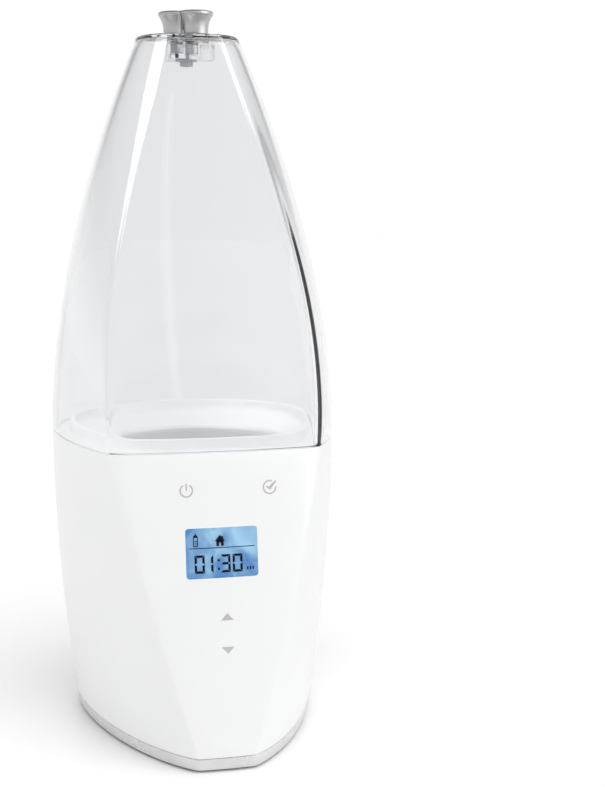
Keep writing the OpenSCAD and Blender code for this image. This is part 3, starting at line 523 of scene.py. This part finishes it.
def set_stage():
    scene = bpy.context.scene
    scene.view_settings.view_transform = "Standard"
    make_world(scene)
    floor_material = moulded("floor_paint", (0.98, 0.98, 0.98), 0.32, 0.004, 0.00001, 0.004,
                             Specular_IOR_Level=0.25)
    mesh = bpy.data.meshes.new("floor")
    half = 6.0
    corners = [(-half, -half, 0), (half, -half, 0), (half, half, 0), (-half, half, 0)]
    mesh.from_pydata(corners, [], [(0, 1, 2, 3)])
    mesh.materials.append(floor_material)
    floor = bpy.data.objects.new("floor", mesh)
    scene.collection.objects.link(floor)
    no_fill.objects.link(floor)
    no_fill.collection_objects[0].light_linking.link_state = "EXCLUDE"
    sun = bpy.data.lights.new("ceiling", "SUN")
    sun.energy = 1.86
    sun.angle = math.radians(70)
    ceiling = bpy.data.objects.new("ceiling", sun)
    ceiling.rotation_euler = (math.radians(28), math.radians(4), 0)
    ceiling.visible_glossy = False
    ceiling.visible_transmission = False
    scene.collection.objects.link(ceiling)
    strip_light("left_streak", (-152, 60), (-119, 37), 25, 6)
    strip_light("right_streak", (106, 62), (98, 40), 9, 6)
    strip_light("front_band", (165.5, 46), (165.5, 14), 1.6, 0.7)
    aim = Vector((0, 0, 0.2))
    wall = area_light("right_wall", aim + 1.6 * heading(112, 12), heading(202, 0), (1.5, 1.2), 1.1, aim)
    wall.visible_diffuse = wall.visible_transmission = False
    fill_light("left_fill", -100, 12, (0.9, 0.9), 2.1)
    fill_light("right_fill", 100, 12, (0.9, 0.9), 1.0)
    fill_light("front_fill", 175, 10, (0.8, 0.8), 0.05)


# brightness of the walls by azimuth in degrees, to the right of the camera's heading
AZIMUTH_LEVELS = [
    (180, 0.5), (165, 0.55), (145, 0.95), (120, 1.05), (80, 1.05), (62, 0.9), (52, 0.55), (32, 0.5),
    (23, 1.02), (-23, 1.02), (-34, 0.5), (-60, 0.42), (-90, 0.42), (-118, 0.5), (-150, 0.5), (-180, 0.55)]
HORIZON_LEVEL = 1.0
HORIZON_FADE = 0.3


def make_world(scene):
    """A white backdrop between two darker flags, a white wall to the right and dimmer walls to the left."""
    world = bpy.data.worlds.new("studio")
    scene.world = world
    world.use_nodes = True
    tree = world.node_tree
    coords = tree.nodes.new("ShaderNodeTexCoord")
    mapping = tree.nodes.new("ShaderNodeMapping")
    mapping.inputs["Rotation"].default_value = (0, 0, math.radians(VIEW_TURN - 90))
    tree.links.new(coords.outputs["Generated"], mapping.inputs["Vector"])
    around = tree.nodes.new("ShaderNodeTexGradient")
    around.gradient_type = "RADIAL"
    tree.links.new(mapping.outputs["Vector"], around.inputs["Vector"])
    walls = tree.nodes.new("ShaderNodeValToRGB")
    set_ramp(walls, [(0.5 - azimuth / 360, level) for azimuth, level in AZIMUTH_LEVELS])
    tree.links.new(around.outputs["Fac"], walls.inputs["Fac"])
    parts = tree.nodes.new("ShaderNodeSeparateXYZ")
    tree.links.new(coords.outputs["Generated"], parts.inputs["Vector"])
    height = tree.nodes.new("ShaderNodeValToRGB")
    set_ramp(height, [(0.0, 1.0), (0.55, 1.0), (0.85, 0.5), (1.0, 0.45)])
    tree.links.new(parts.outputs["Z"], height.inputs["Fac"])
    both = tree.nodes.new("ShaderNodeMath")
    both.operation = "MULTIPLY"
    tree.links.new(walls.outputs["Color"], both.inputs[0])
    tree.links.new(height.outputs["Color"], both.inputs[1])
    # near the horizon the walls fade into the floor's own brightness, so nothing reflects a line there
    above = tree.nodes.new("ShaderNodeMapRange")
    above.interpolation_type = "SMOOTHSTEP"
    above.inputs["From Min"].default_value = 0.0
    above.inputs["From Max"].default_value = HORIZON_FADE
    tree.links.new(parts.outputs["Z"], above.inputs["Value"])
    blend = tree.nodes.new("ShaderNodeMix")
    blend.inputs["A"].default_value = HORIZON_LEVEL
    tree.links.new(above.outputs["Result"], blend.inputs["Factor"])
    tree.links.new(both.outputs["Value"], blend.inputs["B"])
    tree.links.new(blend.outputs["Result"], tree.nodes["Background"].inputs["Strength"])
    tree.nodes["Background"].inputs["Color"].default_value = (1, 1, 1, 1)


def set_ramp(node, levels):
    """Grey levels along a colour ramp."""
    elements = node.color_ramp.elements
    while len(elements) < len(levels):
        elements.new(0.5)
    for element, (place, level) in zip(elements, levels):
        element.position = place
        element.color = (level, level, level, 1)


set_camera()
set_stage()


# ---- dome -------------------------------------------------------------------------
KNOB_Y = (mm_box("wave_washer")[0][1] + mm_box("wave_washer")[1][1]) / 2
BOSS_R, BOSS_H, BORE_R = 5.2, 5.0, 3.06
INNER_REACH = 1.8
CORNER_REACH = (1.3, 4.4)      # rounding of the outer corners at the foot and at the roof
VENT_R, VENT_CIRCLE_R = 2.2, 8.8
STOP_ANGLE, STOP_R = math.radians(-30), 1.2


def make_dome():
    under = DOME_TOP_Z - ROOF
    crown = 1.0
    stations = [(ring(SEAM_Z, 0, 1, CORNER_REACH[0], DOME_FOOT_Z), 0.5)]
    for t in np.linspace(0.01, 0.985, 60):
        z = mix(DOME_FOOT_Z, DOME_TOP_Z - crown, t)
        stations.append((ring(z, 0, 1, mix(*CORNER_REACH, t)), 0))
    rim = ring(DOME_TOP_Z - crown, 0, 1, CORNER_REACH[1])
    stations.append((rim, 1.2))
    bore_top = circle(rim, KNOB_Y, BORE_R, DOME_TOP_Z)
    for k in (0.2, 0.35, 0.5, 0.65, 0.8, 0.92):
        level = mix(rim, bore_top, k)
        level[:, 2] = DOME_TOP_Z - crown * (1 - k) ** 2
        stations.append((level, 0))
    stations.append((bore_top, 0.3))
    stations.append((circle(rim, KNOB_Y, BORE_R, under - BOSS_H), 0.3))
    stations.append((circle(rim, KNOB_Y, BOSS_R, under - BOSS_H), 0.5))
    stations.append((circle(rim, KNOB_Y, BOSS_R, under), 1.0))
    roof_edge = ring(under, DOME_WALL, 1, INNER_REACH)
    for k in (0.15, 0.4, 0.65, 0.85):
        stations.append((mix(circle(rim, KNOB_Y, BOSS_R, under), roof_edge, k), 0))
    stations.append((roof_edge, 1.2))
    for t in np.linspace(0.03, 0.99, 50):
        stations.append((ring(mix(under, DOME_FOOT_Z, t), DOME_WALL, 1, INNER_REACH), 0))
    stations.append((ring(SEAM_Z, DOME_WALL, 1, INNER_REACH, DOME_FOOT_Z), 0.4))
    dome = loop_solid("dome", stations, dome_clear)
    holes = [cylinder_mesh("vent", VENT_R, under - 1, DOME_TOP_Z + 1,
                           (VENT_CIRCLE_R * math.cos(a), KNOB_Y + VENT_CIRCLE_R * math.sin(a)), dome_clear)
             for a in (0, 2 * math.pi / 3, 4 * math.pi / 3)]
    cut(dome, holes)
    peg = cylinder_mesh("peg", STOP_R, under - 3, under + 1,
                        (VENT_CIRCLE_R * math.cos(STOP_ANGLE), KNOB_Y + VENT_CIRCLE_R * math.sin(STOP_ANGLE)),
                        dome_clear, 32)
    cut(dome, [peg], "UNION")
    dome.visible_shadow = False
    streak_catchers.objects.link(dome)
    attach(dome, "dome")
    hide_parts("dome_shell")


def make_knob():
    """Two flared lobes that merge, turned as one grip, on a stem."""
    top_r, waist_r, lobe = 7.4, 5.2, 4.8
    base, top = DOME_TOP_Z + 0.3, knob_high[2]
    height = top - base
    axis = math.radians(-34)
    parts = []
    for k, side in enumerate((0, math.pi)):
        centre = (lobe * math.cos(axis + side), KNOB_Y + lobe * math.sin(axis + side))
        profile = [(0.001, 0), (waist_r - 0.1, 0), (waist_r + 0.15, 0.25)]
        profile += [(mix(waist_r, top_r, t**2.6), mix(0.6, height - 1.5, t)) for t in np.linspace(0, 1, 22)]
        profile += [(top_r - 0.75 + 0.75 * math.cos(a), height - 0.85 + 0.75 * math.sin(a))
                    for a in np.linspace(-0.2, math.pi / 2, 10)]
        profile += [(top_r * s, height - 0.1 - 0.25 * (1 - s * s)) for s in (0.75, 0.5, 0.25)]
        profile += [(0.001, height - 0.35)]
        sides = 96
        turns = [2 * math.pi * i / sides for i in range(sides)]
        verts = [(centre[0] + r * math.cos(a), centre[1] + r * math.sin(a), base + h)
                 for r, h in profile for a in turns]
        last = (len(profile) - 1) * sides
        faces = [(low + i, low + (i + 1) % sides, low + sides + (i + 1) % sides, low + sides + i)
                 for low in range(0, last, sides) for i in range(sides)]
        faces.append(tuple(range(sides - 1, -1, -1)))
        faces.append(tuple(last + i for i in range(sides)))
        parts.append(make_object(f"knob{k}", verts, faces, chrome))
    knob = parts[0]
    stem_low = knob_low[2]
    stem = cylinder_mesh("stem", 3.0, stem_low, base + 2, (0, KNOB_Y), chrome, 64)
    hole = cylinder_mesh("screw_hole", 1.25, stem_low - 1, stem_low + 8, (0, KNOB_Y), chrome, 32)
    cut(knob, [parts[1]], "UNION")
    cut(knob, [stem], "UNION")
    cut(knob, [hole])
    knob.name = "knob_grip"
    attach(knob, "knob_set")
    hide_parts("knob")


# ---- base --------------------------------------------------------------------------
def crease(z):
    """The facet's creases are crisp low down and soften towards the seam."""
    return 1.1 + 2.4 * smooth((z - 85) / 40)


def window_place(depth=0.0):
    return (Matrix.Translation(Vector((0, face_y(0, WINDOW_Z), WINDOW_Z)))
            @ Matrix.Rotation(-FACE_LEAN, 4, "X") @ Matrix.Translation(Vector((0, depth, 0))))


def make_housing():
    levels = np.linspace(RING_TOP_Z, SEAM_Z, 52)
    stations = []
    for k, z in enumerate(levels):
        edge = 0.35 if k in (0, len(levels) - 1) else 0
        stations.append((ring(z, 0, 1, crease(z)), edge))
    for z in levels[::-3]:
        stations.append((ring(z, HOUSING_WALL, 1, crease(z)), 0))
    housing = loop_solid("housing", stations, housing_white)
    gap = 0.1
    opening = prism("opening", rounded_outline(WINDOW[0] + 2 * gap, WINDOW[1] + 2 * gap, 1.2), 12,
                    window_place(-4), housing_white)
    plate_low, plate_high = mm_box("socket_plate")
    centre_z = (plate_low[2] + plate_high[2]) / 2
    back = prism("back", rounded_outline(43, 15, 2.5), 20,
                 Matrix.Translation(Vector((0, plate_low[1] - 1, centre_z))), housing_white)
    cut(housing, [opening, back])
    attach(housing, "base")
    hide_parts("housing_shell")


def make_base_ring():
    top, low = RING_TOP_Z, FOOT_LIFT
    stations = [
        (ring(top, 0.8, 1, 1.1, low), 0.5),
        (ring(top, 0.25, 1, 1.1, mix(low, top, 0.4)), 1.0),
        (ring(top, 0.12, 1, 1.1, top - 0.12), 0.3),
        (ring(top, 2.6, 1, 1.1, top - 0.12), 0.2),
        (ring(top, 2.6, 1, 1.1, low), 0.2),
    ]
    trim = loop_solid("trim_ring", stations, ring_silver)
    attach(trim, "base")
    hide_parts("base_ring")


def make_deck():
    collar = 4.5
    top = SEAM_Z
    foot = ring(top, 11, 0.9, 3)
    mouth = (liner_high[0] - liner_low[0]) / 2 - 4 + 0.2
    under = liner_high[2]
    stations = [
        (ring(top, 2.6, 1, 3, top - 2.2), 0.3),
        (ring(top, 2.6, 1, 3, top), 0.3),
        (ring(top, 8, 0.94, 3, top), 0.8),
        (ring(top, 8.5, 0.93, 3, top + collar), 0.8),
        (ring(top, 10.1, 0.91, 3, top + collar), 0.8),
        (ring(top, 11, 0.9, 3, top + 0.2), 2.0),
        (circle(foot, CHAMBER_Y, mouth + 4, top - 3.2), 2.0),
        (circle(foot, CHAMBER_Y, mouth + 0.8, top - 5), 1.5),
        (circle(foot, CHAMBER_Y, mouth, top - 6.6), 0.4),
        (circle(foot, CHAMBER_Y, mouth, under + 0.01), 0.2),
        (circle(foot, CHAMBER_Y, mouth + 2.5, under + 0.01), 0.2),
        (circle(foot, CHAMBER_Y, mouth + 4.5, top - 5.8), 0.5),
        (ring(top, 12, 0.88, 3, top - 2.2), 0.5),
    ]
    deck = loop_solid("deck", stations, deck_white, 50)
    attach(deck, "base")
    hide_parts("deck_collar")


# ---- display and key symbols ----------------------------------------------------------
def face_point(u, v, depth):
    """A point on the front face: u across and v up from the window's centre, depth behind the surface."""
    z = WINDOW_Z + v * math.cos(FACE_LEAN)
    return (u, face_y(u, z) + depth, z)


def face_piece(name, outlines, low, high, material, split=1.5):
    """Flat shapes laid on the curved face, from depth low (outside) to high (inside)."""
    verts, faces = [], []
    for outline in outlines:
        fine = []
        for a, b in zip(outline, outline[1:] + outline[:1]):
            parts = max(1, int(math.dist(a, b) / split))
            fine += [(mix(a[0], b[0], i / parts), mix(a[1], b[1], i / parts)) for i in range(parts)]
        n, first = len(fine), len(verts)
        verts += [face_point(u, v, low) for u, v in fine] + [face_point(u, v, high) for u, v in fine]
        faces += [(first + i, first + (i + 1) % n, first + n + (i + 1) % n, first + n + i) for i in range(n)]
        for tri in tessellate_polygon([[Vector((u, v, 0)) for u, v in fine]]):
            faces.append(tuple(first + i for i in tri))
            faces.append(tuple(first + n + i for i in reversed(tri)))
    return make_object(name, verts, faces, material, 30)


def arc_band(centre, radius, stroke, start, stop, steps=28):
    """A ring segment as one outline, angles in degrees."""
    turn = [math.radians(mix(start, stop, i / steps)) for i in range(steps + 1)]

    def arc(r, angles):
        return [(centre[0] + r * math.cos(a), centre[1] + r * math.sin(a)) for a in angles]

    return arc(radius + stroke / 2, turn) + arc(radius - stroke / 2, reversed(turn))


def stroke_line(points, width):
    """A bent line of even width as one outline."""
    left, right = [], []
    for k, p in enumerate(points):
        a = Vector(points[max(k - 1, 0)])
        b = Vector(points[min(k + 1, len(points) - 1)])
        d = (b - a).normalized()
        n = Vector((-d.y, d.x)) * width / 2
        if 0 < k < len(points) - 1:
            d0 = (Vector(p) - a).normalized()
            n = n / max(0.4, abs(d0.dot(d)))
        left.append((p[0] + n.x, p[1] + n.y))
        right.append((p[0] - n.x, p[1] - n.y))
    return left + right[::-1]


def make_keys():
    def up(z):
        return (z - WINDOW_Z) / math.cos(FACE_LEAN)

    stroke, radius = 0.58, 2.4
    px, pv = -13.3, up(111)
    sx, sv = 20.0, up(110.9)
    ax = 1.3
    shapes = {
        "power_symbol": [
            arc_band((px, pv), radius, stroke, 122, 418),
            [(px - stroke / 2, pv + 0.1), (px + stroke / 2, pv + 0.1), (px + stroke / 2, pv + 2.75),
             (px - stroke / 2, pv + 2.75)]],
        "start_symbol": [
            arc_band((sx, sv), radius + 0.15, stroke, 68, 362),
            stroke_line([(sx - 1.25, sv + 0.45), (sx - 0.15, sv - 0.5), (sx + 2.6, sv + 2.35)], stroke)],
        "up_symbol": [[(ax - 2.55, up(61.4) - 1.4), (ax + 2.55, up(61.4) - 1.4), (ax, up(61.4) + 1.4)]],
        "down_symbol": [[(ax - 2.55, up(48.2) + 1.4), (ax, up(48.2) - 1.4), (ax + 2.55, up(48.2) + 1.4)]],
    }
    for name, outlines in shapes.items():
        piece = face_piece(name, outlines, -0.03, 0.12, key_grey, 0.8)
        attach(piece, "base")


SEGMENTS = {"0": "abcdef", "1": "bc", "3": "abgcd"}


def seven_segment(digit, x, y, w, h, t):
    """Outlines of one seven-segment digit with its lower left corner at x, y."""
    g = 0.09
    mid = y + h / 2
    c = t / 2
    spans = {
        "a": [(x + g, y + h), (x + w - g, y + h), (x + w - t - g, y + h - t), (x + t + g, y + h - t)],
        "d": [(x + g, y), (x + t + g, y + t), (x + w - t - g, y + t), (x + w - g, y)],
        "f": [(x, y + h - g), (x + t, y + h - t - g), (x + t, mid + c + g), (x, mid + g)],
        "e": [(x, y + g), (x, mid - g), (x + t, mid - c - g), (x + t, y + t + g)],
        "b": [(x + w, y + h - g), (x + w, mid + g), (x + w - t, mid + c + g), (x + w - t, y + h - t - g)],
        "c": [(x + w, y + g), (x + w - t, y + t + g), (x + w - t, mid - c - g), (x + w, mid - g)],
        "g": [(x + g + c, mid), (x + g + t, mid + c), (x + w - t - g, mid + c), (x + w - g - c, mid),
              (x + w - t - g, mid - c), (x + t + g, mid - c)],
    }
    return [spans[s] for s in SEGMENTS[digit]]


def make_display():
    w, h = WINDOW
    lens = face_piece("display_window", [rounded_outline(w, h, 1.2)], 0.05, 3.2, display_blue, 0.7)
    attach(lens, "base")
    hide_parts("lcd_window")

    def at(u, v):
        """From shares of the window, from its top left, to the face."""
        return ((u - 0.5) * w, (0.5 - v) * h)

    marks = []
    digit_w, digit_h, bar = 3.95, 7.1, 0.92
    base_v = 0.9
    for digit, u in (("0", 0.115), ("1", 0.235), ("3", 0.475), ("0", 0.645)):
        x, y = at(u, base_v)
        marks += seven_segment(digit, x, y, digit_w, digit_h, bar)
    for v in (0.67, 0.84):
        x, y = at(0.435, v)
        marks.append([(x, y), (x + 0.8, y), (x + 0.8, y + 0.8), (x, y + 0.8)])
    x0, y0 = at(0.045, 0.405)
    x1, _ = at(0.965, 0.405)
    marks.append([(x0, y0), (x1, y0), (x1, y0 + 0.28), (x0, y0 + 0.28)])
    # house
    x, y = at(0.475, 0.365)
    marks += [
        [(x - 1.45, y), (x - 0.42, y), (x - 0.42, y + 1.35), (x + 0.42, y + 1.35), (x + 0.42, y),
         (x + 1.45, y), (x + 1.45, y + 1.95), (x + 2.05, y + 1.95), (x + 1.3, y + 2.85), (x + 1.3, y + 3.9),
         (x + 0.75, y + 3.9), (x + 0.75, y + 3.5), (x, y + 4.35), (x - 2.05, y + 1.95), (x - 1.45, y + 1.95)]]
    # feeding bottle
    x, y = at(0.135, 0.365)
    marks += [
        [(x - 0.95, y), (x + 0.95, y), (x + 0.95, y + 0.3), (x - 0.95, y + 0.3)],
        [(x - 0.95, y + 0.3), (x - 0.65, y + 0.3), (x - 0.65, y + 3.6), (x - 0.95, y + 3.6)],
        [(x + 0.65, y + 0.3), (x + 0.95, y + 0.3), (x + 0.95, y + 3.6), (x + 0.65, y + 3.6)],
        [(x - 0.95, y + 3.6), (x + 0.95, y + 3.6), (x + 0.75, y + 4.4), (x + 0.2, y + 4.7),
         (x + 0.15, y + 5.4), (x - 0.15, y + 5.4), (x - 0.2, y + 4.7), (x - 0.75, y + 4.4)],
    ]
    for rise in (0.75, 1.45, 2.15):
        low, high = y + rise, y + rise + 0.2
        marks.append([(x - 0.35, low), (x + 0.65, low), (x + 0.65, high), (x - 0.35, high)])
    # plain unit mark: three short bars
    x, y = at(0.845, 0.87)
    for k in range(3):
        marks.append([(x + k * 1.1, y), (x + k * 1.1 + 0.55, y), (x + k * 1.1 + 0.55, y + 1.2),
                      (x + k * 1.1, y + 1.2)])
    ink = face_piece("display_segments", marks, 0.0, 0.12, ink_black, 0.8)
    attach(ink, "base")


make_dome()
make_knob()
make_housing()
make_base_ring()
make_deck()
make_keys()
make_display()
